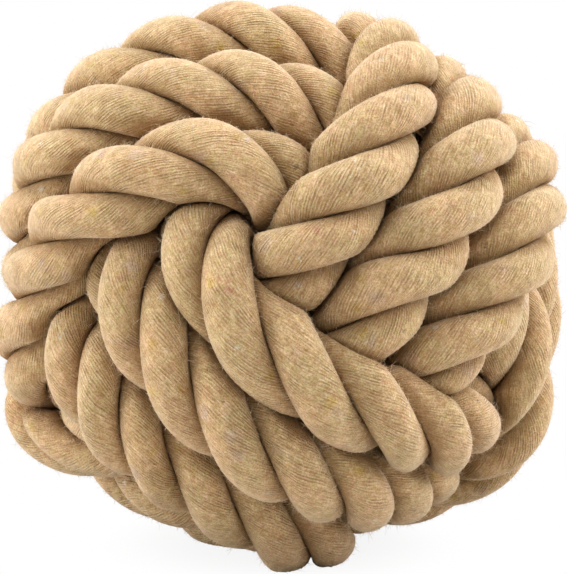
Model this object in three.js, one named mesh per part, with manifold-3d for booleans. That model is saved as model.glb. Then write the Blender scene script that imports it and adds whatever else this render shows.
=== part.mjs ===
// A rope ball for a dog, tied as a monkey's fist.
// One thick, soft, three-strand cotton rope is wound in three bands of three turns each.
// The bands stand square to each other, like the three pairs of faces of a cube, and each
// band passes over the next one on two faces and under the one before it on two others.
// The turns close round a wadded core. Both ends of the rope are bound with twine and tucked
// under the turns at the back, so nothing shows but the one rope.
// Millimetres, +Z up. The ball rests on three turns, which its weight presses flat.

import * as THREE from "three";
import { mergeVertices } from "three/addons/utils/BufferGeometryUtils.js";
import Module from "manifold-3d";

// Driving dimensions. The size of the knot follows from the rope that it is tied in.
const ropeDiameter = 25.4;
const coreClearance = 0.5;
const bindingClearance = 0.3;
const bindingTwine = 1;
const cutOverrun = 5;

const turnsPerBand = 3;
const bands = 3;
const stepsPerTurn = 24;
const sectionSides = 6;

// The knot as shares of the rope's diameter. A turn's distance from the centre is a sum of
// cosines of 0, 2, 4 and 6 times the angle round its band: far out on the two faces where
// the band is on top, and close in on the two where it lies under the next band.
const middleTurnShares = [2.474, 0.429, -0.106, 0.076];
const sideTurnShares = [2.261, 0.515, -0.154, 0.043];
// The distance from lane to lane, as the same kind of sum.
const laneShares = [0.917, 0.036, 0.008];
// Half the width and half the thickness of the rope where nothing presses it. Where turns
// press each other flat, its skin comes this share of the way to the middle of the next turn:
// nearly halfway to the turn beside it, and less to one that crosses over or under it.
const halfWidthShare = 0.475;
const halfThicknessShare = 0.39;
const besidePressShare = 0.47;
const crossingPressShare = 0.405;
const pressRounds = 6;
// Turns further apart than this, from middle to middle, can't press each other.
const nearbyShare = 2;
// The twine draws the last of each end in to this share of its section.
const boundShare = 0.76;
const boundSteps = 2;
const flatCutShare = 0.1;

// Angles in degrees.
const fullTurn = 360;
const startAngle = -90;
const endAngle = -990;
const cornerAngle = 30;
const cornerEaseShare = 1.15;
const cornerSteps = 6;
const coreDetail = 6;
const ballTurn = -4.5;
const ballTilt = 3.5;

// The knot was pulled tight by hand, so its three front faces and their corners are each
// turned a little about the ball's axes, and the turns close in round the front corner.
const faceTurns = [[7, 3.5, -2.5], [-9, -6.5, -2.5], [8, 1, -7]];
const cornerTurns = [[-5.5, -2.5, 4.5], [-2.5, -4.5, -2], [2.5, -4, 1], [-2, -2, 4]];
const cornerTurnAngle = 32;
const cornerDrawShare = 0.18;
const cornerDrawAngle = 30;
// It also bulges in one place and is a little flat in two others, as shares of its radius.
const bulgeShares = [0.085, -0.06, -0.04];
const bulgeAngles = [24, 28, 25];

// Where a turn moves over to the next lane, on the faces where its band is hidden.
const shiftInFirstBand = [195, 275];
const shiftInSecondBand = [402, 498];
const shiftInThirdBand = [265, 345];

const colours = { rope: 0xc9a778, core: 0xe6dcc8, twine: 0xd8c9a6 };

const radians = THREE.MathUtils.degToRad;
const direction = (x, y, z) => new THREE.Vector3(x, y, z).normalize();
const faceNormals = [direction(1, 0, 0), direction(0, 1, 0), direction(0, 0, -1)];
const frontCorners = [
  direction(1, 1, -1), direction(1, -1, -1), direction(-1, 1, -1), direction(1, 1, 1)];
const bulgePlaces = [
  direction(0.43, -0.81, -0.4), direction(0.03, -0.53, -0.85), direction(0.86, -0.47, -0.2)];

function smoothStep(x) {
  const t = Math.min(Math.max(x, 0), 1);
  return t * t * (3 - 2 * t);
}

function cosineSum(shares, angle) {
  return shares.reduce((sum, share, i) => sum + share * Math.cos(2 * i * angle), 0);
}

// A point of a turn in its band's own axes: u and v lie in the plane of the turn, and w runs
// across the band. The lane is -1, 0 or 1, and between those while the rope moves over.
function turnPoint(degrees, lane) {
  const angle = radians(degrees);
  const side = lane * lane;
  const middleReach = (1 - side) * cosineSum(middleTurnShares, angle);
  const sideReach = side * cosineSum(sideTurnShares, angle);
  const radius = (middleReach + sideReach) * ropeDiameter;
  const across = lane * cosineSum(laneShares, angle) * ropeDiameter;
  return [radius * Math.cos(angle), radius * Math.sin(angle), across];
}

// The band's own axes are the ball's axes moved on by one place for each band. The second
// axis is turned about, which puts the two corners where the rope changes band at the back.
function placeInBall(point, band) {
  const placed = [0, 0, 0];
  point.forEach((value, i) => {
    placed[(band + i) % bands] = value;
  });
  return new THREE.Vector3(placed[0], -placed[1], placed[2]);
}

// How many lanes the rope has moved over by this angle.
function lanesMoved(degrees, window) {
  let moved = 0;
  for (let turn = 0; turn < turnsPerBand - 1; turn++) {
    moved += smoothStep((degrees - turn * fullTurn - window[0]) / (window[1] - window[0]));
  }
  return moved;
}

function bandRun(band, from, to, laneAt) {
  const steps = Math.round((Math.abs(to - from) * stepsPerTurn) / fullTurn);
  const run = [];
  for (let i = 0; i <= steps; i++) {
    const degrees = from + ((to - from) * i) / steps;
    run.push(placeInBall(turnPoint(degrees, laneAt(degrees)), band));
  }
  return run;
}

// Past its last face a band's rope turns the corner of the ball and lies down as the first
// turn of the next band.
function cornerRun(before, after) {
  const from = before.at(-1);
  const to = after[0];
  const reach = from.distanceTo(to) * cornerEaseShare;
  const leave = from.clone().sub(before.at(-2)).setLength(reach);
  const arrive = after[1].clone().sub(to).setLength(reach);
  const run = [];
  for (let i = 1; i < cornerSteps; i++) {
    const s = i / cornerSteps;
    const centre = from.clone().multiplyScalar((2 * s - 3) * s * s + 1);
    centre.addScaledVector(leave, ((s - 2) * s + 1) * s);
    centre.addScaledVector(to, (3 - 2 * s) * s * s);
    centre.addScaledVector(arrive, (s - 1) * s * s);
    run.push(centre);
  }
  return run;
}

// Turns a point about the middle of the ball, and moves it out or in, by amounts that fade
// smoothly from face to face, so that turns that lie side by side move together.
function pullTight(point) {
  const outward = point.clone().normalize();
  const turn = new THREE.Vector3();
  faceNormals.forEach((normal, i) => {
    const weight = Math.max(outward.dot(normal), 0) ** 2;
    turn.addScaledVector(new THREE.Vector3(...faceTurns[i]), weight);
  });
  frontCorners.forEach((corner, i) => {
    const away = outward.angleTo(corner) / radians(cornerTurnAngle);
    turn.addScaledVector(new THREE.Vector3(...cornerTurns[i]), Math.exp(-away * away));
  });
  const away = THREE.MathUtils.radToDeg(outward.angleTo(frontCorners[0]));
  const draw = cornerDrawShare * away * Math.exp(-((away / cornerDrawAngle) ** 2));
  turn.addScaledVector(outward.clone().cross(frontCorners[0]).normalize(), draw);
  const swell = bulgePlaces.reduce((sum, place, i) => {
    const awayShare = outward.angleTo(place) / radians(bulgeAngles[i]);
    return sum + bulgeShares[i] * Math.exp(-awayShare * awayShare);
  }, 1);
  const swollen = point.clone().multiplyScalar(swell);
  return swollen.applyAxisAngle(turn.clone().normalize(), radians(turn.length()));
}

// The whole rope from its first end to its last, with its side and its outward direction at
// each step, so that its section stays flat on the ball.
function ropeRoute() {
  const lastFace = turnsPerBand * fullTurn;
  const first = bandRun(0, startAngle, lastFace - fullTurn / 2 + cornerAngle,
    (degrees) => lanesMoved(degrees, shiftInFirstBand) - 1);
  const second = bandRun(1, fullTurn / 2 - cornerAngle, lastFace + cornerAngle,
    (degrees) => lanesMoved(degrees, shiftInSecondBand) - 1);
  const third = bandRun(2, cornerAngle, endAngle,
    (degrees) => 1 - lanesMoved(-degrees, shiftInThirdBand));
  const corners = [cornerRun(first, second), cornerRun(second, third)];
  const centres = [...first, ...corners[0], ...second, ...corners[1], ...third].map(pullTight);
  return centres.map((centre, i) => {
    const before = centres[Math.max(i - 1, 0)];
    const after = centres[Math.min(i + 1, centres.length - 1)];
    const along = after.clone().sub(before).normalize();
    const outward = centre.clone().projectOnPlane(along).normalize();
    return { centre, outward, side: outward.clone().cross(along) };
  });
}

// The stretches of other turns that come near one step of the rope, as lines from step to
// step, and the step at which each one ends.
function nearbyStretches(route, i) {
  const apart = Math.round(stepsPerTurn / 4);
  const stretches = [];
  for (let j = 1; j < route.length; j++) {
    const near = route[i].centre.distanceTo(route[j].centre) < nearbyShare * ropeDiameter;
    if (near && Math.abs(i - j) > apart && Math.abs(i - j + 1) > apart) {
      stretches.push({ end: j, line: new THREE.Line3(route[j - 1].centre, route[j].centre) });
    }
  }
  return stretches;
}

// The corners of the rope's section at one step. The flats of the six sides face in and out.
// A corner that lies too near to another turn is drawn in towards the middle of its own.
function sectionRing(route, i) {
  const { centre, side, outward } = route[i];
  const stretches = nearbyStretches(route, i);
  const ring = [];
  for (let k = 0; k < sectionSides; k++) {
    const angle = (k * 2 * Math.PI) / sectionSides;
    const pressShare = k % (sectionSides / 2) === 0 ? besidePressShare : crossingPressShare;
    const arm = side.clone().multiplyScalar(halfWidthShare * ropeDiameter * Math.cos(angle));
    const half = (halfThicknessShare * ropeDiameter) / Math.cos(Math.PI / sectionSides);
    arm.addScaledVector(outward, half * Math.sin(angle));
    for (let round = 0; round < pressRounds; round++) {
      const corner = centre.clone().add(arm);
      const other = Math.min(...stretches.map(({ line }) =>
        line.closestPointToPoint(corner, true, new THREE.Vector3()).distanceTo(corner)));
      arm.setLength(Math.min(arm.length(), pressShare * (arm.length() + other)));
    }
    ring.push(centre.clone().add(arm));
  }
  return ring;
}

// A ring drawn in to a share of its size, or moved out by a length.
function changedRing(ring, centre, share, extra) {
  return ring.map((point) => {
    const arm = point.clone().sub(centre);
    return centre.clone().add(arm.setLength(arm.length() * share + extra));
  });
}

// Skin between two rings of points, facing away from the line through them.
function skin(faces, ringA, ringB) {
  for (let k = 0; k < sectionSides; k++) {
    const next = (k + 1) % sectionSides;
    faces.push([ringA[k], ringA[next], ringB[next]], [ringA[k], ringB[next], ringB[k]]);
  }
}

function geometryOf(faces) {
  const positions = faces.flat().flatMap((point) => point.toArray());
  const geometry = new THREE.BufferGeometry();
  geometry.setAttribute("position", new THREE.Float32BufferAttribute(positions, 3));
  return mergeVertices(geometry);
}

// The faces of one unbroken tube with a flat cap on each end: the first list is the cap on the
// start, and each of the others is the skin of a stretch. The last one has the cap on the end.
function tubeStretches(rings) {
  const start = rings[0];
  const end = rings.at(-1);
  const stretches = rings.map(() => []);
  for (let i = 1; i < rings.length; i++) {
    skin(stretches[i], rings[i - 1], rings[i]);
  }
  for (let k = 1; k < sectionSides - 1; k++) {
    stretches[0].push([start[0], start[k + 1], start[k]]);
    stretches.at(-1).push([end[0], end[k], end[k + 1]]);
  }
  return stretches;
}

// A sleeve whose wall lies between two sets of rings. Its inner side is split into triangles
// along the same diagonals as the skin of the rope inside it, so that the two never meet.
function sleeveGeometry(outer, inner) {
  const faces = [];
  const innerFaces = [];
  const last = outer.length - 1;
  for (let i = 1; i <= last; i++) {
    skin(faces, outer[i - 1], outer[i]);
    skin(innerFaces, inner[i - 1], inner[i]);
  }
  skin(faces, inner[0], outer[0]);
  skin(faces, outer[last], inner[last]);
  return geometryOf([...faces, ...innerFaces.map((corners) => corners.reverse())]);
}

const wasm = await Module();
wasm.setup();

function toSolid(geometry) {
  const merged = mergeVertices(geometry.clone().deleteAttribute("normal").deleteAttribute("uv"));
  return new wasm.Manifold(new wasm.Mesh({
    numProp: 3,
    vertProperties: new Float32Array(merged.attributes.position.array),
    triVerts: new Uint32Array(merged.index.array),
  }));
}

function toGeometry(solid) {
  const mesh = solid.getMesh();
  const geometry = new THREE.BufferGeometry();
  geometry.setAttribute("position", new THREE.BufferAttribute(new Float32Array(mesh.vertProperties), 3));
  geometry.setIndex(new THREE.BufferAttribute(new Uint32Array(mesh.triVerts), 1));
  return geometry;
}

// The ball stands on one corner of its three bands, with the opposite corner on top and a
// third corner, where three patches of turns meet, near the middle of its front. It leans a
// little to the front, which brings three of its turns down to the ground.
function turnToStand() {
  const up = new THREE.Vector3(1, 1, 1).normalize();
  const right = new THREE.Vector3(-1, 1, 0).normalize();
  const back = up.clone().cross(right);
  const stand = new THREE.Matrix4().makeBasis(right, back, up).transpose();
  const turned = new THREE.Matrix4().makeRotationZ(radians(ballTurn)).multiply(stand);
  return new THREE.Matrix4().makeRotationX(radians(ballTilt)).multiply(turned);
}

// The least distance from the rope's skin to the rest of the rope, measured from the corners
// and the middles of the edges of every stretch to the faces of the others. It is negative
// where they overlap.
function leastGap(route, rings) {
  const skins = tubeStretches(rings).map((faces) =>
    faces.map((corners) => new THREE.Triangle(...corners)));
  const closest = new THREE.Vector3();
  const normal = new THREE.Vector3();
  let least = Infinity;
  rings.forEach((ring, i) => {
    const probes = ring.flatMap((point, k) => [
      point,
      point.clone().lerp(ring[(k + 1) % sectionSides], 1 / 2),
      point.clone().lerp(rings[Math.max(i - 1, 0)][k], 1 / 2),
    ]);
    const faces = nearbyStretches(route, i).flatMap(({ end }) =>
      end === 1 ? [...skins[0], ...skins[1]] : skins[end]);
    probes.forEach((probe) => {
      let nearest = Infinity;
      faces.forEach((face) => {
        face.closestPointToPoint(probe, closest);
        const outside = probe.clone().sub(closest).dot(face.getNormal(normal)) >= 0;
        const distance = probe.distanceTo(closest);
        if (distance < Math.abs(nearest)) {
          nearest = outside ? distance : -distance;
        }
      });
      least = Math.min(least, nearest);
    });
  });
  return least;
}

// The rope is drawn in at its two ends, where the twine goes round it.
const route = ropeRoute();
const ropeRings = route.map((step, i) => {
  const fromEnd = Math.min(i, route.length - 1 - i);
  return changedRing(sectionRing(route, i), step.centre, fromEnd <= boundSteps ? boundShare : 1, 0);
});

function makeRope(stand) {
  const whole = toSolid(geometryOf(tubeStretches(ropeRings).flat()).applyMatrix4(stand));
  const box = whole.boundingBox();
  const floor = box.min[2] + flatCutShare * ropeDiameter;
  const width = box.max[0] - box.min[0] + 2 * cutOverrun;
  const depth = floor - box.min[2] + cutOverrun;
  const below = new THREE.BoxGeometry(width, width, depth);
  below.translate((box.min[0] + box.max[0]) / 2, (box.min[1] + box.max[1]) / 2, floor - depth / 2);
  return whole.subtract(toSolid(below));
}

// Wadding pressed to a ball, which fills the room inside the turns.
function makeCore(stand) {
  const edgeMiddles = ropeRings.flatMap((ring) => ring.map((point, k) =>
    point.clone().lerp(ring[(k + 1) % sectionSides], 1 / 2)));
  const inside = Math.min(...edgeMiddles.map((point) => point.length()));
  const core = new THREE.IcosahedronGeometry(inside - coreClearance, coreDetail);
  return core.applyMatrix4(stand);
}

// Twine wound round one end of the rope, so that its strands can't come apart.
function makeBinding(stand, steps) {
  const grown = (extra) => steps.map((i) => changedRing(ropeRings[i], route[i].centre, 1, extra));
  const outer = grown(bindingClearance + bindingTwine);
  const inner = grown(bindingClearance);
  return sleeveGeometry(outer, inner).applyMatrix4(stand);
}

function cloth(colour, roughness) {
  return new THREE.MeshStandardMaterial({ color: colour, roughness, metalness: 0 });
}

function namedMesh(name, geometry, material) {
  const mesh = new THREE.Mesh(geometry, material);
  mesh.name = name;
  return mesh;
}

function assemble() {
  const stand = turnToStand();
  const rope = makeRope(stand);
  const startSteps = Array.from({ length: boundSteps }, (_, i) => i);
  const endSteps = startSteps.map((i) => route.length - boundSteps + i);
  const ball = new THREE.Group();
  ball.add(namedMesh("rope", toGeometry(rope), cloth(colours.rope, 0.95)));
  ball.add(namedMesh("core_ball", makeCore(stand), cloth(colours.core, 1)));
  ball.add(namedMesh("start_binding", makeBinding(stand, startSteps), cloth(colours.twine, 0.9)));
  ball.add(namedMesh("end_binding", makeBinding(stand, endSteps), cloth(colours.twine, 0.9)));

  // The origin is the middle of the bottom of the whole ball.
  const box = new THREE.Box3().setFromObject(ball);
  const middle = box.getCenter(new THREE.Vector3());
  ball.position.set(-middle.x, -middle.y, -box.min.z);
  return { ball, size: box.getSize(new THREE.Vector3()) };
}

const { ball, size } = assemble();
const ropeLength = route.slice(1).reduce(
  (sum, step, i) => sum + step.centre.distanceTo(route[i].centre), 0);
const gap = leastGap(route, ropeRings);
console.log(`ball ${size.x.toFixed(1)} x ${size.y.toFixed(1)} x ${size.z.toFixed(1)} mm`);
console.log(`rope length ${ropeLength.toFixed(0)} mm, least gap to itself ${gap.toFixed(2)} mm`);

export default ball;
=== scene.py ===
# %% [markdown]
# # A rope ball for a dog
# The real toy is one thick, soft cotton rope tied as a monkey's fist: three bands of three
# turns, standing square to each other, closed round a ball of wadding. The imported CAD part
# gives its frame, its size and the ball inside. This lesson winds the rope again with its
# three strands, presses the turns against each other, and gives them a cotton finish.

# %% Load the frame
import math

import bmesh
import bpy
import numpy as np
from mathutils import Matrix, Vector


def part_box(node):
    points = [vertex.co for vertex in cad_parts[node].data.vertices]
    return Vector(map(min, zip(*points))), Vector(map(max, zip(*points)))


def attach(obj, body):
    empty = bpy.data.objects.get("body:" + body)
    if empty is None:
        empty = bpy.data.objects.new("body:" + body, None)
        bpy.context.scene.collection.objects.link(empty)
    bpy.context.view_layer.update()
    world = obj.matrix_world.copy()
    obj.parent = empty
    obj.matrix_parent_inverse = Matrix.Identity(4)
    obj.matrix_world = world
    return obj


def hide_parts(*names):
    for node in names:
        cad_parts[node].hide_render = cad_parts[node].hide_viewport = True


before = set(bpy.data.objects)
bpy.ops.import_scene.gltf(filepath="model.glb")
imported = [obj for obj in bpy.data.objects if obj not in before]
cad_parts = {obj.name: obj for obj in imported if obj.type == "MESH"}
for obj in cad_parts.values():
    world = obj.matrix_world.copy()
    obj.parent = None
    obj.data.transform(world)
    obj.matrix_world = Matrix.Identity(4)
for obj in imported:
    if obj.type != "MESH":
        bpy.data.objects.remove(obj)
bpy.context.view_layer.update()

core_low, core_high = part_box("core_ball")
ball_centre = np.array((core_low + core_high) / 2)
core_radius = (core_high.z - core_low.z) / 2
print("middle of the ball", ball_centre.round(4), "radius of the wadding", round(core_radius, 4))

# %% [markdown]
# ## Camera
# The photograph looks a little down on the ball, from close by, so the near turns are larger
# than the far ones. A camera could be placed by eye. Here points were picked along the
# turns in the photograph, and a least-squares fit of the route to them gave the camera's
# height, its roll, its aim and the picture points in a metre. The distance was tried at a few
# values in the same fit. The lens follows from these.

# %% Camera
rope_diameter = 0.0254
camera_distance = 0.489
camera_elevation = math.radians(4.8)
camera_roll = math.radians(0.4)
pixels_per_metre = 3582
picture_height = 574
picture_up = 3.2

focal_pixels = pixels_per_metre * camera_distance
camera_data = bpy.data.cameras.new("photo_camera")
camera_data.sensor_fit = "VERTICAL"
camera_data.angle_y = 2 * math.atan(picture_height / 2 / focal_pixels)
camera_data.shift_y = -picture_up / picture_height
camera_data.clip_start = 0.01
camera = bpy.data.objects.new("photo_camera", camera_data)
bpy.context.scene.collection.objects.link(camera)
towards_camera = Vector((0, -math.cos(camera_elevation), math.sin(camera_elevation)))
camera.location = Vector(ball_centre) + towards_camera * camera_distance
aim = towards_camera.to_track_quat("Z", "Y").to_matrix().to_4x4()
roll = Matrix.Rotation(camera_roll, 4, "Z")
camera.matrix_world = Matrix.Translation(camera.location) @ aim @ roll
bpy.context.scene.camera = camera
print("lens", round(math.degrees(camera_data.angle_y), 2), "degrees")

# %% [markdown]
# ## One turn of the rope
# A monkey's fist could be drawn by hand as one long curve, but its order is simple, so a
# formula is shorter and never tangles. Each turn is a closed loop that swells out on two
# faces of a cube, where its band is on top, and draws in on the two where it goes under the
# next band. The lengths are in rope diameters, as in the CAD part, which uses the same route.

# %% One turn of one band
middle_turn_shares = [2.474, 0.429, -0.106, 0.076]
side_turn_shares = [2.261, 0.515, -0.154, 0.043]
lane_shares = [0.917, 0.036, 0.008]


def cosine_sum(shares, angle):
    return sum(share * np.cos(2 * i * angle) for i, share in enumerate(shares))


def turn_points(degrees, lane):
    angle = np.radians(degrees)
    middle = cosine_sum(middle_turn_shares, angle)
    reach = middle + lane ** 2 * (cosine_sum(side_turn_shares, angle) - middle)
    across = lane * cosine_sum(lane_shares, angle)
    return np.stack([reach * np.cos(angle), reach * np.sin(angle), across], axis=1)


def place_in_ball(points, band):
    return np.roll(points, band, axis=1) * (1, -1, 1)


print("a middle turn reaches out", round(sum(middle_turn_shares), 3), "rope diameters")

# %% [markdown]
# ## Three bands
# Going round, the rope moves over to the next lane on a hidden face, within a window of
# angles, and does so twice in a band. The turns of a band could be three separate rings, but
# the real rope is unbroken, so each band is one run that starts and ends at a corner.

# %% The run of one band
degrees_per_step = 15
lane_changes = 2


def lanes_moved(degrees, window):
    moved = 0
    for turn in range(lane_changes):
        t = np.clip((degrees - turn * 360 - window[0]) / (window[1] - window[0]), 0, 1)
        moved = moved + t * t * (3 - 2 * t)
    return moved


def band_run(band, start, end, window, way):
    steps = round(abs(end - start) / degrees_per_step)
    degrees = np.linspace(start, end, steps + 1)
    lane = way * (lanes_moved(way * -degrees if way > 0 else degrees, window) * -1 + 1)
    return place_in_ball(turn_points(degrees, lane), band)


first_band = band_run(0, -90, 930, (195, 275), -1)
second_band = band_run(1, 150, 1110, (402, 498), -1)
third_band = band_run(2, 30, -990, (265, 345), 1)
print("points of the bands", len(first_band), len(second_band), len(third_band))

# %% [markdown]
# Between two bands the rope turns a corner. A straight joint would kink, so the corner is a
# cubic curve that leaves one band and meets the next along their own directions.

# %% The two corners between the bands
corner_steps = 6
corner_ease = 1.15


def corner_run(before, after):
    reach = np.linalg.norm(after[0] - before[-1]) * corner_ease
    leave = before[-1] - before[-2]
    leave *= reach / np.linalg.norm(leave)
    arrive = after[1] - after[0]
    arrive *= reach / np.linalg.norm(arrive)
    s = (np.arange(1, corner_steps) / corner_steps)[:, None]
    return (((2 * s - 3) * s * s + 1) * before[-1] + ((s - 2) * s + 1) * s * leave
            + (3 - 2 * s) * s * s * after[0] + (s - 1) * s * s * arrive)


route = np.concatenate([first_band, corner_run(first_band, second_band), second_band,
                        corner_run(second_band, third_band), third_band])
print("points on the route", len(route))

# %% [markdown]
# ## A knot pulled tight by hand
# The knot in the photograph isn't perfectly square: each visible face and corner ended up
# turned a few degrees, and some parts stand out more. Bending every turn by hand would make
# them cut into each other. Turning space itself, by an amount that fades smoothly from place
# to place, moves neighbours together, so the turns stay clear of each other. The angles weren't
# chosen by hand: the fit that placed the camera gave them, and they were rounded to about half
# a degree. The shares of one turn, above, also come from that fit, and the shares
# of the bulges from a fit to the ball's outline in the photograph.

# %% Where the front faces turn and swell
face_normals = np.array([[1, 0, 0], [0, 1, 0], [0, 0, -1]])
face_turns = np.radians([[7.0, 3.5, -2.5], [-9.0, -6.5, -2.5], [8.0, 1.0, -7.0]])
front_corners = np.array([[1, 1, -1], [1, -1, -1], [-1, 1, -1], [1, 1, 1]]) / math.sqrt(3)
corner_turns = np.radians([[-5.5, -2.5, 4.5], [-2.5, -4.5, -2.0],
                           [2.5, -4.0, 1.0], [-2.0, -2.0, 4.0]])
corner_angle = math.radians(32)
corner_draw = 0.18
corner_draw_angle = math.radians(30)
bulge_places = np.array([[0.43, -0.81, -0.4], [0.03, -0.53, -0.85], [0.86, -0.47, -0.2]])
bulge_shares = np.array([0.085, -0.06, -0.04])
bulge_angles = np.radians([24, 28, 25])
print("faces turned", len(face_turns), "corners turned", len(corner_turns))

# %% [markdown]
# Each point is moved out by the bulges near it, and is then turned about one axis. That axis
# is the sum of what the faces and corners near the point ask for.

# %% Turn the faces
def unit(vectors):
    return vectors / np.linalg.norm(vectors, axis=-1, keepdims=True)


def turn_faces(points):
    outward = unit(points)
    bulge_away = np.arccos(np.clip(outward @ unit(bulge_places).T, -1, 1))
    points = points * (1 + np.exp(-(bulge_away / bulge_angles) ** 2) @ bulge_shares)[:, None]
    turn = np.maximum(outward @ face_normals.T, 0) ** 2 @ face_turns
    away = np.arccos(np.clip(outward @ front_corners.T, -1, 1))
    turn += np.exp(-(away / corner_angle) ** 2) @ corner_turns
    inwards = unit(np.cross(outward, front_corners[0]))
    draw = corner_draw * away * np.exp(-(away / corner_draw_angle) ** 2)
    turn += inwards * draw[:, :1]
    angle = np.linalg.norm(turn, axis=1, keepdims=True)
    axis = turn / np.maximum(angle, 1e-9)
    along_axis = (axis * points).sum(axis=1, keepdims=True) * axis
    return (points * np.cos(angle) + np.cross(axis, points) * np.sin(angle)
            + along_axis * (1 - np.cos(angle)))


third_face = np.array([[0.0, 0.0, -1.0]])
moved_by = float(np.linalg.norm(turn_faces(third_face) - third_face))
print("the middle of the third face moves by", round(moved_by, 3), "of its distance")

# %% [markdown]
# ## Stand the ball up
# In the photograph a corner of the knot points at the camera, and the ball rests near another
# one. The tilt lets it rest on three flats, as the CAD part does.

# %% Stand the ball on its corner
ball_turn = math.radians(-4.5)
ball_tilt = math.radians(3.5)
up = np.array([1, 1, 1]) / math.sqrt(3)
right = np.array([-1, 1, 0]) / math.sqrt(2)
back = np.cross(up, right)
stand = np.array(Matrix.Rotation(ball_tilt, 3, "X") @ Matrix.Rotation(ball_turn, 3, "Z"))
stand = stand @ np.stack([right, back, up])
route = turn_faces(route) @ stand.T * rope_diameter
rope_length = float(np.linalg.norm(np.diff(route, axis=0), axis=1).sum())
print("rope length", round(rope_length, 3), "m")

# %% [markdown]
# ## A finer route
# The strands need many more rings than the route has points. A straight line between points
# would show as flats, so a smooth curve goes through them, and is then divided evenly. Each
# ring gets three directions: along the rope, out of the ball, and to the side.

# %% A finer route, with its side and outward directions
fine_step = 0.05 * rope_diameter
samples_per_point = 24


def smooth_curve(points, count):
    before_first = 2 * points[:1] - points[1:2]
    after_last = 2 * points[-1:] - points[-2:-1]
    padded = np.concatenate([before_first, points, after_last])
    t = np.linspace(0, len(points) - 1, count)
    i = np.minimum(t.astype(int), len(points) - 2)
    t = (t - i)[:, None]
    a, b, c, d = (padded[i + k] for k in range(4))
    return (b + (c - a) * t / 2 + (a - 2.5 * b + 2 * c - d / 2) * t ** 2
            + (1.5 * (b - c) + (d - a) / 2) * t ** 3)


def even_curve(points, step):
    dense = smooth_curve(points, len(points) * samples_per_point)
    walked = np.concatenate([[0], np.cumsum(np.linalg.norm(np.diff(dense, axis=0), axis=1))])
    marks = np.linspace(0, walked[-1], round(walked[-1] / step) + 1)
    return np.stack([np.interp(marks, walked, dense[:, k]) for k in range(3)], axis=1), marks


centre, walked = even_curve(route, fine_step)
along = unit(np.gradient(centre, axis=0))
outward = unit(centre - (centre * along).sum(axis=1, keepdims=True) * along)
side = np.cross(outward, along)
rings = len(centre)
print("rings", rings)

# %% [markdown]
# ## Three strands
# A three-strand rope is three fat strands twisted round each other. A displacement could
# fake them on one tube, but the creases between strands are deep and undercut, so each strand
# is its own tube that follows a helix round the route. A constant twist would do, but then
# the lumps would sit in other places than in the photograph. Here the creases between lumps
# were traced on the photograph, turn by turn. A small program turned the traced lines into
# lengths along the rope, in rope diameters, and the twist runs smoothly from one to the next.

# %% Twist along the rope
crease_places = [
    [1.35, 2.2, 3.2, 3.9, 4.8], [16.85, 17.5, 18.35, 19.15, 19.9], [33.5, 34.2, 35.0, 35.8],
    [46.55, 47.4, 48.25, 49.05, 49.6], [61.95, 63.1, 64.0, 64.8, 65.4],
    [78.6, 79.5, 80.35, 81.05, 81.55], [98.3, 99.15, 99.8, 100.5, 101.05],
    [114.3, 115.05, 115.75, 116.65, 117.45], [130.35, 131.2, 132.1, 133.15]]
usual_spacing = 0.8
twist_ease = 6
strand_count = 3

places, counts = [0.0], [0.0]
for turn_places in crease_places:
    counts.append(counts[-1] + max(round((turn_places[0] - places[-1]) / usual_spacing), 1))
    counts += [counts[-1] + n for n in range(1, len(turn_places))]
    places += turn_places
rope_end = walked[-1] / rope_diameter
places.append(rope_end)
counts.append(counts[-1] + (rope_end - places[-2]) / usual_spacing)
crease_count = np.interp(walked / rope_diameter, places, counts)
weights = np.exp(-(np.arange(-3 * twist_ease, 3 * twist_ease + 1) / twist_ease) ** 2 / 2)
padded_count = np.pad(crease_count, 3 * twist_ease, mode="reflect", reflect_type="odd")
eased_count = np.convolve(padded_count, weights / weights.sum(), mode="valid")
twist = eased_count * 2 * math.pi / strand_count + math.pi / 6
lay = float(2 * math.pi * rope_end / (twist[-1] - twist[0]))
print("lay", round(lay, 2), "rope diameters")

# %% [markdown]
# Round strands would leave gaps between them. Real ones press each other flat where they
# touch, so each strand's oval section is held inside its own third of the rope. A spun
# strand is never even, so its section swells and thins a little along the way.

# %% Swelling of a strand
swell_share = 0.05
swell_length = round(0.4 * rope_diameter / fine_step)
swell_chance = np.random.default_rng(3)


def swell():
    spread = np.arange(-3 * swell_length, 3 * swell_length + 1) / swell_length
    rough = swell_chance.normal(size=rings + 6 * swell_length)
    smooth = np.convolve(rough, np.exp(-spread ** 2 / 2), mode="valid")
    return 1 + swell_share * np.clip(smooth / smooth.std(), -2, 2)[:, None]


def soft_limit(value, limit, ease):
    return limit - ease * np.logaddexp(0, (limit - value) / ease)


print("length of a swelling", swell_length, "rings")

# %% [markdown]
# A strand's surface is a table of points, with a row for each ring and a column for each
# place round the section. The sizes are shares of the rope's diameter.

# %% Strand sections
strand_reach_share = 0.25
strand_depth_share = 0.26
strand_breadth_share = 0.285
touch_ease_share = 0.025
rope_width = 1.0
rope_thickness = 0.86
section_points = 28
around = math.pi + np.arange(section_points + 1) * 2 * math.pi / section_points


def strand_surface(number):
    reach = strand_reach_share + strand_depth_share * swell() * np.cos(around)
    breadth = np.abs(strand_breadth_share * swell() * np.sin(around))
    room = math.tan(math.pi / strand_count) * np.maximum(reach, 0)
    breadth = soft_limit(breadth, room, touch_ease_share) - soft_limit(0, room, touch_ease_share)
    breadth = np.maximum(breadth, 0) * np.sign(np.sin(around))
    turned = (twist + number * 2 * math.pi / strand_count)[:, None]
    across = (reach * np.cos(turned) - breadth * np.sin(turned)) * rope_width * rope_diameter
    out = (reach * np.sin(turned) + breadth * np.cos(turned)) * rope_thickness * rope_diameter
    return (centre[:, None] + across[..., None] * side[:, None]
            + out[..., None] * outward[:, None])


print("points of one strand", rings * (section_points + 1))

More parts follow.
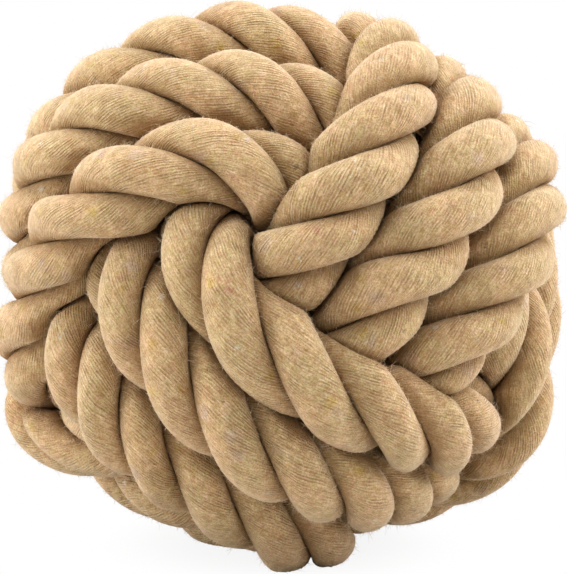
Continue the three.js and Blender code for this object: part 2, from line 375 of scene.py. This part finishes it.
# %% [markdown]
# ## Press the turns against each other
# Soft turns that touch flatten against each other. A cloth or soft-body simulation of three
# metres of rope would be slow and hard to steer. Instead, every point of a strand stays on
# its own side of the halfway surface between its turn and the next one, and points that
# would cross it are drawn back towards the middle of their own rope.

# %% Neighbouring turns of every ring
contact_reach = 1.3 * rope_diameter
own_stretch = round(1.6 * rope_diameter / fine_step)
halfway_share = 0.49
press_ease = 0.02
press_rounds = 3
neighbours = []
for i in range(rings):
    near = np.linalg.norm(centre - centre[i], axis=1) < contact_reach
    near[max(i - own_stretch, 0):i + own_stretch + 1] = False
    neighbours.append(centre[np.flatnonzero(near)[::2]])


def press(surface):
    pressed = surface.copy()
    closeness = np.zeros(surface.shape[:2])
    for i in range(rings):
        if not len(neighbours[i]):
            continue
        for _ in range(press_rounds):
            arm = pressed[i] - centre[i]
            own = np.linalg.norm(arm, axis=1)
            to_others = pressed[i][:, None] - neighbours[i][None]
            other = np.sqrt((to_others ** 2).sum(axis=2)).min(axis=1)
            share = own / (own + other)
            scale = soft_limit(1, halfway_share / share, press_ease)
            pressed[i] = centre[i] + arm * scale[:, None]
        closeness[i] = share
    return pressed, closeness


print("rings that touch another turn", sum(len(others) > 0 for others in neighbours))

# %% [markdown]
# ## Uneven turns
# A knot pulled tight by hand isn't round: here and there a turn stands a few millimetres
# out or lies deeper. Each place has an angle in the picture, counted from the right towards
# the top, an angle towards the camera, and a height. The turns near it move that far straight
# out from the middle of the ball, or towards it where the height is negative. After that, no
# point may lie inside the wadding or below the floor.

# %% Bulges and dents
uneven_places = [(25, 6, 0.0018), (88, 6, 0.0032), (160, 6, 0.0028), (198, 6, 0.005),
                 (226, 6, -0.0028), (270, 16, 0.0045), (290, 6, -0.0036), (325, 6, 0.0023)]
uneven_reach = math.radians(11)


def uneven(surface):
    direction = unit(surface)
    move = np.zeros(surface.shape[:2])
    for angle, forward, height in uneven_places:
        angle, forward = math.radians(angle), math.radians(forward)
        place_out = np.array([math.cos(angle), -math.tan(forward), math.sin(angle)])
        away = np.arccos(np.clip(direction @ unit(place_out), -1, 1))
        move += height * np.exp(-(away / uneven_reach) ** 2 / 2)
    return surface + direction * move[..., None]


def settle(surface):
    surface = uneven(surface)
    from_middle = np.linalg.norm(surface, axis=2, keepdims=True)
    surface = surface * np.maximum(core_radius / from_middle, 1)
    placed = surface + ball_centre
    placed[..., 2] = np.maximum(placed[..., 2], 0)
    return placed


print("bulges and dents", len(uneven_places))

# %% [markdown]
# ## How sheltered each point is
# The creases of the real rope look darker and warmer than its ridges, because light reaches
# them only after touching other cotton. The renderer finds this by itself, and the cotton
# material paints more shade into the creases on top of it. For that, each point keeps a number
# from 0 on a ridge to 1 deep in a crease, which the cotton material reads as painted shade. A
# point is sheltered when it lies near the middle of its rope, or close to the next turn.

# %% The three strands and their shelter
inner_reach, ridge_reach = 0.33, 0.47
first_closeness, full_closeness = 0.42, 0.49


def fade(value, low, high):
    t = np.clip((value - low) / (high - low), 0, 1)
    return t * t * (3 - 2 * t)


strand_surfaces, strand_shelter = [], []
for number in range(strand_count):
    surface, closeness = press(strand_surface(number))
    arm = surface - centre[:, None]
    across = (arm * side[:, None]).sum(axis=2) / rope_width
    out = (arm * outward[:, None]).sum(axis=2) / rope_thickness
    reach = np.hypot(across, out) / rope_diameter
    inside_rope = 1 - fade(reach, inner_reach, ridge_reach)
    beside_turn = fade(closeness, first_closeness, full_closeness)
    strand_surfaces.append(settle(surface))
    strand_shelter.append(np.maximum(inside_rope, beside_turn))
print("sheltered share", round(float(np.mean(strand_shelter)), 2))

# %% [markdown]
# ## Strand meshes
# A grid has the right rows and columns for a tube, and gives each corner its place in a UV
# map. Its points are then laid on the strand, and its two long edges are joined. A strand
# is twisted the other way than the rope, so the map turns with it: a line of one U value
# runs the way that a yarn does, nearly parallel to the whole rope and across the lumps.

# %% Strands as tubes
yarn_turn_share = 1.9
joined_below = 1e-7


def close_tube(mesh):
    tube = bmesh.new()
    tube.from_mesh(mesh)
    bmesh.ops.remove_doubles(tube, verts=tube.verts, dist=joined_below)
    ends = [edge for edge in tube.edges if edge.is_boundary]
    bmesh.ops.holes_fill(tube, edges=ends, sides=0)
    bmesh.ops.recalc_face_normals(tube, faces=tube.faces)
    for face in tube.faces:
        face.smooth = True
    tube.to_mesh(mesh)
    tube.free()


def tube_object(name, surface, shelter, start_turn):
    mesh = bpy.data.meshes.new(name)
    grid = bmesh.new()
    bmesh.ops.create_grid(grid, x_segments=section_points, y_segments=rings - 1, size=1)
    grid.to_mesh(mesh)
    grid.free()
    mesh.vertices.foreach_set("co", surface.reshape(-1))
    shelter_values = mesh.attributes.new("shelter", "FLOAT", "POINT").data
    shelter_values.foreach_set("value", shelter.reshape(-1))
    corners = np.empty(len(mesh.loops), dtype=np.int32)
    mesh.loops.foreach_get("vertex_index", corners)
    row, column = np.divmod(corners, section_points + 1)
    turned = column / section_points + start_turn + yarn_turn_share * twist[row] / (2 * math.pi)
    uv = np.stack([turned, walked[row] / rope_diameter], axis=1)
    mesh.uv_layers.new(name="along_strand").data.foreach_set("uv", uv.reshape(-1))
    close_tube(mesh)
    piece = bpy.data.objects.new(name, mesh)
    bpy.context.scene.collection.objects.link(piece)
    return piece


strands = []
for number in range(strand_count):
    strands.append(tube_object(f"strand_{number + 1}", strand_surfaces[number],
                               strand_shelter[number], number / strand_count))
    print(strands[-1].name, len(strands[-1].data.polygons), "faces")

# %% [markdown]
# ## Helpers for materials
# A material is a small network of nodes. It could be built by hand in the editor. These
# helpers place a node in code, and set or link its inputs by name, so that a material reads
# like a short sum.

# %% Node helpers
def fill(tree, socket, value):
    if isinstance(value, bpy.types.NodeSocket):
        tree.links.new(value, socket)
    else:
        socket.default_value = value


def place(tree, kind, inputs=None, **settings):
    node = tree.nodes.new(kind)
    for name, value in settings.items():
        setattr(node, name, value)
    for name, value in (inputs or {}).items():
        fill(tree, node.inputs[name], value)
    return node


def calculate(tree, operation, *values):
    node = place(tree, "ShaderNodeMath", operation=operation)
    for socket, value in zip(node.inputs, values):
        fill(tree, socket, value)
    return node.outputs["Value"]


def multiply(tree, first, second):
    return calculate(tree, "MULTIPLY", first, second)


print("made", [helper.__name__ for helper in (fill, place, calculate, multiply)])

# %% [markdown]
# Colours are mixed, noises made, and values faded from one range to another, many times in
# every material. Each of these gets its own helper.

# %% Colour, noise and fade helpers
def blend(tree, factor, first, second, way="MIX"):
    node = place(tree, "ShaderNodeMix", data_type="RGBA", blend_type=way)
    for name, value in (("Factor_Float", factor), ("A_Color", first), ("B_Color", second)):
        fill(tree, next(entry for entry in node.inputs if entry.identifier == name), value)
    return next(entry for entry in node.outputs if entry.identifier == "Result_Color")


def noise(tree, vector, scale, detail=2.0):
    return place(tree, "ShaderNodeTexNoise",
                 {"Vector": vector, "Scale": scale, "Detail": detail}).outputs["Fac"]


def colour_noise(tree, vector, scale, detail):
    return place(tree, "ShaderNodeTexNoise",
                 {"Vector": vector, "Scale": scale, "Detail": detail}).outputs["Color"]


def ramp(tree, value, low, high, least=0.0, most=1.0):
    ends = {"Value": value, "From Min": low, "From Max": high, "To Min": least, "To Max": most}
    return place(tree, "ShaderNodeMapRange", ends,
                 interpolation_type="SMOOTHSTEP").outputs["Result"]


def scaled(tree, vector, scale):
    return place(tree, "ShaderNodeVectorMath", {"Vector": vector, "Scale": scale},
                 operation="SCALE").outputs["Vector"]


def object_in_mm(tree):
    return scaled(tree, tree.nodes.new("ShaderNodeTexCoord").outputs["Object"], 1000)


print("made", [helper.__name__ for helper in (blend, noise, colour_noise, ramp, scaled)])

# %% [markdown]
# ## Mottled cotton
# The rope is spun from recycled cotton: under the straw colour there are warmer and greener
# patches, and stray fibres of yellow, pink, dark and white. The rope, its wadding and the
# twine are all made of it, so the effect is one group. It works in millimetres of Object
# coordinates, which need no map and show no seam.

# %% Cotton group
patches_per_mm, clumps_per_mm, tints_per_mm, grain_per_mm = 0.07, 0.45, 0.9, 2.2
tint_share = 0.22
greener, redder = (0.97, 1.0, 0.95, 1), (1.03, 0.99, 0.97, 1)
duller, brighter = (0.9, 0.87, 0.83, 1), (1.08, 1.1, 1.14, 1)

cotton = bpy.data.node_groups.new("mottled_cotton", "ShaderNodeTree")
for label, kind, in_out in (("Color", "NodeSocketColor", "INPUT"),
                            ("Flecks", "NodeSocketFloat", "INPUT"),
                            ("Color", "NodeSocketColor", "OUTPUT"),
                            ("Height", "NodeSocketFloat", "OUTPUT")):
    cotton.interface.new_socket(label, in_out=in_out, socket_type=kind)
group_in = cotton.nodes.new("NodeGroupInput")
group_out = cotton.nodes.new("NodeGroupOutput")
in_mm = object_in_mm(cotton)
patches = ramp(cotton, noise(cotton, in_mm, patches_per_mm, 3), 0.38, 0.62)
clumps = ramp(cotton, noise(cotton, in_mm, clumps_per_mm, 4), 0.3, 0.7)
tint = blend(cotton, patches, greener, redder)
mottled = blend(cotton, 1.0, group_in.outputs["Color"], tint, "MULTIPLY")
shade = blend(cotton, clumps, duller, brighter)
mottled = blend(cotton, 1.0, mottled, shade, "MULTIPLY")
tints = colour_noise(cotton, in_mm, tints_per_mm, 3.0)
mottled = blend(cotton, tint_share, mottled, tints, "OVERLAY")
print("nodes for patches, clumps and tints", len(cotton.nodes))

# %% [markdown]
# A stray fibre is a small cell of a Voronoi texture. Round cells would look like dots, so
# the place that the texture is asked for wanders, which draws them out. Each kind of fibre
# has a density, a rarity, a size and a colour.

# %% Stray fibres in the group
wander_per_mm, wander_reach = 0.6, 5.0
fleck_kinds = [(0.14, 0.72, 0.3, (0.62, 0.42, 0.08, 1)), (0.1, 0.75, 0.2, (0.62, 0.28, 0.18, 1)),
               (0.12, 0.78, 0.36, (0.66, 0.46, 0.34, 1)), (0.19, 0.84, 0.14, (0.16, 0.1, 0.06, 1)),
               (0.15, 0.82, 0.18, (0.9, 0.83, 0.72, 1))]

wander = scaled(cotton, colour_noise(cotton, in_mm, wander_per_mm, 3.0), wander_reach)
wandering = place(cotton, "ShaderNodeVectorMath", {0: in_mm, 1: wander},
                  operation="ADD").outputs["Vector"]
for density, rarity, size, colour in fleck_kinds:
    cells = place(cotton, "ShaderNodeTexVoronoi", {"Vector": wandering, "Scale": density})
    near = ramp(cotton, cells.outputs["Distance"], size / 4, size, 1, 0)
    kind = place(cotton, "ShaderNodeSeparateColor", {"Color": cells.outputs["Color"]})
    chosen = calculate(cotton, "GREATER_THAN", kind.outputs["Red"], rarity)
    amount = multiply(cotton, multiply(cotton, near, chosen), group_in.outputs["Flecks"])
    mottled = blend(cotton, amount, mottled, colour)
cotton.links.new(mottled, group_out.inputs["Color"])
cotton.links.new(noise(cotton, in_mm, grain_per_mm, 3), group_out.inputs["Height"])
print("nodes in the cotton group", len(cotton.nodes))

# %% [markdown]
# ## Yarn lines
# Each strand is a bundle of about fifty yarns round its outside. Modelled yarns would need
# millions of faces, so they are drawn as colour and bump from the strand's UV map: U counts
# the yarns round the strand and V the length. Noise makes the lines wander and fades them
# where fuzz lies over them, and the gaps between yarns aren't all equally deep.

# %% Gaps between the yarns
yarns = 56
wide_wander_per_mm, wide_wander_yarns = 0.08, 2.5
fine_wander_per_mm, fine_wander_yarns = 0.35, 0.5
stretches_per_diameter = 1.7
gap_start, gap_end = 0.05, 0.4
shallowest_gap, least_clear = 0.4, 0.25
clearings_per_mm = 0.2

rope_material = bpy.data.materials.new("cotton_rope")
rope_material.use_nodes = True
tree = rope_material.node_tree
shader = tree.nodes["Principled BSDF"]
strand_map = place(tree, "ShaderNodeUVMap", uv_map="along_strand")
on_strand = place(tree, "ShaderNodeSeparateXYZ", {"Vector": strand_map.outputs["UV"]})
in_mm = object_in_mm(tree)
wide_wander = multiply(tree, noise(tree, in_mm, wide_wander_per_mm, 1), wide_wander_yarns)
fine_wander = multiply(tree, noise(tree, in_mm, fine_wander_per_mm, 1), fine_wander_yarns)
yarn_count = calculate(tree, "MULTIPLY_ADD", on_strand.outputs["X"], yarns, wide_wander)
yarn_count = calculate(tree, "ADD", yarn_count, fine_wander)
nearest_gap = calculate(tree, "ROUND", yarn_count)
from_gap = calculate(tree, "ABSOLUTE", calculate(tree, "SUBTRACT", yarn_count, nearest_gap))
stretch = calculate(tree, "FLOOR",
                    multiply(tree, on_strand.outputs["Y"], stretches_per_diameter))
gap_key = place(tree, "ShaderNodeCombineXYZ", {"X": nearest_gap, "Y": stretch})
gap_depth = place(tree, "ShaderNodeTexWhiteNoise", {"Vector": gap_key.outputs["Vector"]},
                  noise_dimensions="2D").outputs["Value"]
gap_depth = calculate(tree, "MULTIPLY_ADD", gap_depth, 1 - shallowest_gap, shallowest_gap)
clear = ramp(tree, noise(tree, in_mm, clearings_per_mm, 4), 0.38, 0.62, least_clear, 1.0)
groove = multiply(tree, ramp(tree, from_gap, gap_start, gap_end, 1, 0),
                  multiply(tree, gap_depth, clear))
print("yarns round a strand", yarns)

# %% [markdown]
# The fibres of a yarn show as fine light and dark streaks along it. One noise could serve
# for streaks and specks, but it would look regular, so the streaks follow the yarn and the
# specks follow the object, and the two are multiplied.

# %% Fibres along the yarns
streaks_per_yarn, streaks_per_diameter = 2.3, 8
dark_fibre, light_fibre = (0.79, 0.7, 0.59, 1), (1.13, 1.22, 1.31, 1)
dark_speck, light_speck = (0.82, 0.76, 0.68, 1), (1.07, 1.14, 1.24, 1)
straw, fleck_share = (0.74, 0.505, 0.27, 1), 0.65

fibre_place = place(tree, "ShaderNodeCombineXYZ",
                    {"X": multiply(tree, yarn_count, streaks_per_yarn),
                     "Y": multiply(tree, on_strand.outputs["Y"], streaks_per_diameter)})
fibres = noise(tree, fibre_place.outputs["Vector"], 1.0, 3)
specks = noise(tree, in_mm, grain_per_mm, 3)
fibre_shade = blend(tree, ramp(tree, fibres, 0.3, 0.7), dark_fibre, light_fibre)
speck_shade = blend(tree, ramp(tree, specks, 0.35, 0.65), dark_speck, light_speck)
lightness = blend(tree, 1.0, fibre_shade, speck_shade, "MULTIPLY")
mottle = place(tree, "ShaderNodeGroup", node_tree=cotton)
mottle.inputs["Color"].default_value = straw
mottle.inputs["Flecks"].default_value = fleck_share
colour = blend(tree, 1.0, mottle.outputs["Color"], lightness, "MULTIPLY")
print("straw colour", straw[:3])

# %% [markdown]
# The gaps between yarns and the sheltered creases are given a darker, warmer colour, as painted
# shade. Seen from the side, the fuzz lies over the yarns as a pale veil, which the facing value
# brings in; this paleness towards grazing angles is a painted sheen. It is left out of the
# creases, where fuzz is pressed flat.

# %% Gaps, creases and veil
painted_gap_shade_colour, painted_gap_shade_share = (0.26, 0.13, 0.045, 1), 0.54
painted_crease_shade_colour, painted_crease_shade_share = (0.25, 0.125, 0.04, 1), 0.54
painted_sheen_veil_colour, painted_sheen_veil_share, painted_sheen_veil_power = (0.84, 0.69, 0.53, 1), 0.5, 2.2

# painted shade: a darker, warmer colour in the gaps between yarns
colour = blend(tree, multiply(tree, groove, painted_gap_shade_share), colour, painted_gap_shade_colour)
shelter = place(tree, "ShaderNodeAttribute", attribute_name="shelter",
                attribute_type="GEOMETRY").outputs["Fac"]
# painted shade: a darker, warmer colour deep in the sheltered creases
colour = blend(tree, multiply(tree, shelter, painted_crease_shade_share), colour, painted_crease_shade_colour)
# painted sheen: a pale veil that grows towards grazing angles, for fuzz seen edge-on
facing = place(tree, "ShaderNodeLayerWeight", {"Blend": 0.5}).outputs["Facing"]
painted_sheen_veil = multiply(tree, calculate(tree, "POWER", facing, painted_sheen_veil_power),
                calculate(tree, "SUBTRACT", 1, shelter))
colour = blend(tree, multiply(tree, painted_sheen_veil, painted_sheen_veil_share), colour, painted_sheen_veil_colour)
tree.links.new(colour, shader.inputs["Base Color"])
print("nodes for the rope's colour", len(tree.nodes))

# %% [markdown]
# The same fibres, specks and gaps also shape the surface, as bump: they are finer than the
# mesh. Cotton is dull, with a faint warm sheen from its loose fibres.

# %% Bump and sheen of the rope
fibre_height, speck_height, gap_drop, lump_height = 0.4, 0.7, 0.5, 1.6
lumps_per_mm = 0.35
bump_strength, bump_distance = 0.9, 0.0006

height = calculate(tree, "MULTIPLY_ADD", fibres, fibre_height,
                   multiply(tree, specks, speck_height))
height = calculate(tree, "SUBTRACT", height, multiply(tree, groove, gap_drop))
height = calculate(tree, "MULTIPLY_ADD", noise(tree, in_mm, lumps_per_mm, 2), lump_height, height)
bump = place(tree, "ShaderNodeBump",
             {"Height": height, "Strength": bump_strength, "Distance": bump_distance})
tree.links.new(bump.outputs["Normal"], shader.inputs["Normal"])
for name, value in (("Roughness", 0.95), ("Sheen Weight", 0.12),
                    ("Sheen Tint", (1, 0.8, 0.55, 1)), ("Sheen Roughness", 0.5),
                    ("Specular IOR Level", 0.2)):
    shader.inputs[name].default_value = value
for strand in strands:
    strand.data.materials.append(rope_material)
    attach(strand, "root")
    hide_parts("rope")
print("strands finished", len(strands))

# %% [markdown]
# ## Fuzz
# Worn cotton is hairy: some loose fibres lie on the yarns and others stand up, which makes
# the edges of the ball look soft. A hair system would be lost in the export, so each fibre
# is a thin ribbon of two faces, rooted at a random place on the outer side of a strand.

# %% Where the fibres go
fuzz_per_strand = 40000
fuzz_length = 0.0011
fuzz_width = 0.00006
root_depth = 0.0001
most_shelter = 0.8
least_outward = -0.1
lying_share, lying_rise, standing_rise = 0.6, 0.2, 0.9
length_spread, bend_spread, bend_up = 0.5, 0.5, 0.1
width_along = (1, 0.9, 0.2)
chance = np.random.default_rng(7)


def outer_normals(surface):
    along_rope = np.gradient(surface, axis=0)
    round_strand = np.gradient(surface, axis=1)
    normal = unit(np.cross(along_rope, round_strand))
    middle = surface[:, :-1].mean(axis=1, keepdims=True)
    return normal * np.sign((normal * (surface - middle)).sum(axis=2, keepdims=True))


def fibre_points(surface, shelter):
    count = fuzz_per_strand
    normal = outer_normals(surface)
    faces_out = (normal * unit(surface - ball_centre)).sum(axis=2) > least_outward
    outer = (shelter < most_shelter) & faces_out
    row, column = np.nonzero(outer[:, :-1])
    pick = chance.integers(len(row), size=count)
    row, column = row[pick], column[pick]
    between = chance.random((count, 1))
    root = surface[row, column] * between + surface[row, column + 1] * (1 - between)
    up = normal[row, column]
    rise = np.where(chance.random((count, 1)) < lying_share, lying_rise, standing_rise)
    drift = chance.normal(size=(count, 3))
    drift = unit(drift - up * (drift * up).sum(axis=1, keepdims=True))
    length = fuzz_length * np.exp(chance.normal(size=(count, 1)) * length_spread)
    start = unit(drift + up * rise)
    bend = unit(start + chance.normal(size=(count, 3)) * bend_spread + up * bend_up)
    half_width = unit(np.cross(start, chance.normal(size=(count, 3)))) * fuzz_width / 2
    middle_line = [root - up * root_depth, root + start * length / 2,
                   root + (start + bend) * length / 2]
    points = [[at - half_width * share, at + half_width * share]
              for at, share in zip(middle_line, width_along)]
    points = np.array(points).transpose(2, 0, 1, 3)
    points[..., 2] = np.maximum(points[..., 2], 0)
    return points


print("fibres on the ball", strand_count * fuzz_per_strand)

# %% [markdown]
# A single mesh object per fibre would be far too slow. One grid holds all the ribbons of a
# strand: every third row of faces is taken out, and the rows that are left are laid on the
# strand as ribbons.

# %% Fuzz meshes
rows_per_fibre = 3
points_per_fibre = 2 * rows_per_fibre


def fuzz_object(name, surface, shelter):
    mesh = bpy.data.meshes.new(name)
    ribbons = bmesh.new()
    rows = rows_per_fibre * fuzz_per_strand
    bmesh.ops.create_grid(ribbons, x_segments=1, y_segments=rows - 1, size=1)
    ribbons.verts.ensure_lookup_table()
    points = fibre_points(surface, shelter).reshape(-1, 3)
    for vertex, point in zip(ribbons.verts, points):
        vertex.co = point
    between = [face for face in ribbons.faces
               if min(v.index for v in face.verts) % points_per_fibre == points_per_fibre - 2]
    bmesh.ops.delete(ribbons, geom=between, context="FACES")
    ribbons.to_mesh(mesh)
    ribbons.free()
    piece = bpy.data.objects.new(name, mesh)
    bpy.context.scene.collection.objects.link(piece)
    return piece


fuzz_pieces = []
for number in range(strand_count):
    fuzz_pieces.append(fuzz_object(f"fuzz_{number + 1}", strand_surfaces[number],
                                   strand_shelter[number]))
    print(fuzz_pieces[-1].name, len(fuzz_pieces[-1].data.polygons), "faces")

# %% [markdown]
# ## Finishes for fuzz, wadding and twine
# Loose fibres, wadding and twine are the same cotton in paler or greyer shades. Each could
# have its own network, but they differ only in a few values, so one helper makes all three.

# %% Fuzz finish
pale_straw = (0.82, 0.66, 0.47, 1)


def finish(name, colour, flecks, roughness):
    material = bpy.data.materials.new(name)
    material.use_nodes = True
    tree = material.node_tree
    shader = tree.nodes["Principled BSDF"]
    mottle = place(tree, "ShaderNodeGroup", node_tree=cotton)
    mottle.inputs["Color"].default_value = colour
    mottle.inputs["Flecks"].default_value = flecks
    tree.links.new(mottle.outputs["Color"], shader.inputs["Base Color"])
    shader.inputs["Roughness"].default_value = roughness
    return material, mottle.outputs["Height"]


fuzz_material, _ = finish("cotton_fuzz", pale_straw, 0.5, 0.9)
for fuzz in fuzz_pieces:
    fuzz.data.materials.append(fuzz_material)
    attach(fuzz, "root")
print("fuzz pieces finished", len(fuzz_pieces))

# %% [markdown]
# Through the gaps at the corners of the knot the wadding shows, in pale soft tufts. The
# twine round the two hidden ends of the rope is wound in close rings, which are bands along
# its height.

# %% Wadding and twine
tufts_per_metre, tuft_depth, grain_share = 350, 0.002, 0.08
rings_per_metre, ring_depth = 160, 0.0004


def roughen(material, height, depth):
    tree = material.node_tree
    bump = place(tree, "ShaderNodeBump", {"Height": height, "Distance": depth})
    tree.links.new(bump.outputs["Normal"], tree.nodes["Principled BSDF"].inputs["Normal"])


wadding, grain = finish("cotton_wadding", (0.8, 0.64, 0.44, 1), 0.3, 1)
tree = wadding.node_tree
coordinates = tree.nodes.new("ShaderNodeTexCoord")
tufts = noise(tree, coordinates.outputs["Object"], tufts_per_metre, 5)
roughen(wadding, calculate(tree, "MULTIPLY_ADD", grain, grain_share, tufts), tuft_depth)

twine, grain = finish("binding_twine", (0.6, 0.5, 0.33, 1), 0.3, 1)
tree = twine.node_tree
coordinates = tree.nodes.new("ShaderNodeTexCoord")
bands = place(tree, "ShaderNodeTexWave",
              {"Vector": coordinates.outputs["Object"], "Scale": rings_per_metre,
               "Distortion": 0.6, "Detail": 1}, bands_direction="Z")
roughen(twine, calculate(tree, "ADD", bands.outputs["Fac"], grain), ring_depth)
for name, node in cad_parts.items():
    if name != "rope":
        node.data.materials.clear()
        node.data.materials.append(wadding if name == "core_ball" else twine)
        print(name, "is finished with", node.data.materials[0].name)

# %% [markdown]
# ## Floor
# The photograph has a pure white background. A plain white plane would hide the shadow that
# shows where the ball rests, so the floor is pale paper that the camera sees as nearly white
# near the ball and as pure white further out.

# %% Floor
floor_size = 1.5
paper_colour = (0.6, 0.59, 0.57, 1)
shadow_from, shadow_to = 0.02, 0.055
whiteness_by_ball = 0.9

floor_mesh = bpy.data.meshes.new("floor")
floor_shape = bmesh.new()
bmesh.ops.create_grid(floor_shape, x_segments=1, y_segments=1, size=floor_size)
floor_shape.to_mesh(floor_mesh)
floor_shape.free()
floor = bpy.data.objects.new("floor", floor_mesh)
bpy.context.scene.collection.objects.link(floor)
floor_material = bpy.data.materials.new("pale_floor")
floor_material.use_nodes = True
tree = floor_material.node_tree
paper = tree.nodes["Principled BSDF"]
paper.inputs["Base Color"].default_value = paper_colour
paper.inputs["Roughness"].default_value = 1
white = place(tree, "ShaderNodeEmission", {"Color": (1, 1, 1, 1), "Strength": 1})
coordinates = tree.nodes.new("ShaderNodeTexCoord")
away = place(tree, "ShaderNodeVectorMath", {0: coordinates.outputs["Object"]},
             operation="LENGTH").outputs["Value"]
seen = tree.nodes.new("ShaderNodeLightPath").outputs["Is Camera Ray"]
whiteness = ramp(tree, away, shadow_from, shadow_to, whiteness_by_ball, 1.0)
floor_mix = place(tree, "ShaderNodeMixShader", {"Fac": multiply(tree, seen, whiteness)})
tree.links.new(paper.outputs["BSDF"], floor_mix.inputs[1])
tree.links.new(white.outputs["Emission"], floor_mix.inputs[2])
tree.links.new(floor_mix.outputs["Shader"], tree.nodes["Material Output"].inputs["Surface"])
floor_mesh.materials.append(floor_material)
print("floor", 2 * floor_size, "m wide")

# %% [markdown]
# ## Light
# The room gives most of the light, as a photographer's white tent does. It is brightest
# overhead, and dimmest and a little warm on the camera's side and below. One even white world
# would be simpler, but the ball would look flat. The camera itself sees plain white.

# %% World
brightest_way = (0, 0.45, 0.89)
dimmest, brightest = 0.1, 1.08
warm_white, cool_white = (1, 0.98, 0.88, 1), (0.99, 1.0, 1.04, 1)

world = bpy.data.worlds.new("white_tent")
bpy.context.scene.world = world
world.use_nodes = True
tree = world.node_tree
tent = tree.nodes["Background"]
heading = tree.nodes.new("ShaderNodeTexCoord").outputs["Generated"]
overhead = place(tree, "ShaderNodeVectorMath", {0: heading, 1: brightest_way},
                 operation="DOT_PRODUCT").outputs["Value"]
tent_light = ramp(tree, overhead, -0.65, 0.75, dimmest, brightest)
tent_colour = blend(tree, ramp(tree, overhead, -0.6, 0.8), warm_white, cool_white)
path = tree.nodes.new("ShaderNodeLightPath")
seen = calculate(tree, "MAXIMUM", path.outputs["Is Camera Ray"], path.outputs["Is Glossy Ray"])
to_white = calculate(tree, "SUBTRACT", 1, tent_light)
strength = calculate(tree, "MULTIPLY_ADD", to_white, seen, tent_light)
tree.links.new(strength, tent.inputs["Strength"])
tree.links.new(blend(tree, seen, tent_colour, (1, 1, 1, 1)), tent.inputs["Color"])
print("light of the tent", dimmest, "to", brightest)

# %% [markdown]
# Three large, weak lamps, above and at both sides, round the turns near the outline, where
# the photograph is brightest. Small lamps would draw hard shadows, which it doesn't have.

# %% Lamps
lamp_width = 0.8


def soft_lamp(name, position, watts):
    data = bpy.data.lights.new(name, "AREA")
    data.shape = "DISK"
    data.size = lamp_width
    data.energy = watts
    lamp = bpy.data.objects.new(name, data)
    lamp.location = position
    away_from_ball = Vector(position) - Vector(ball_centre)
    lamp.rotation_euler = away_from_ball.to_track_quat("Z", "Y").to_euler()
    bpy.context.scene.collection.objects.link(lamp)


soft_lamp("top_lamp", (-0.25, 0.0, 1.0), 6)
soft_lamp("left_lamp", (-0.95, 0.0, 0.2), 7.5)
soft_lamp("right_lamp", (0.9, 0.1, 0.55), 8.5)
print("lamps", len(bpy.data.lights))

bpy.context.scene.view_settings.view_transform = "Standard"
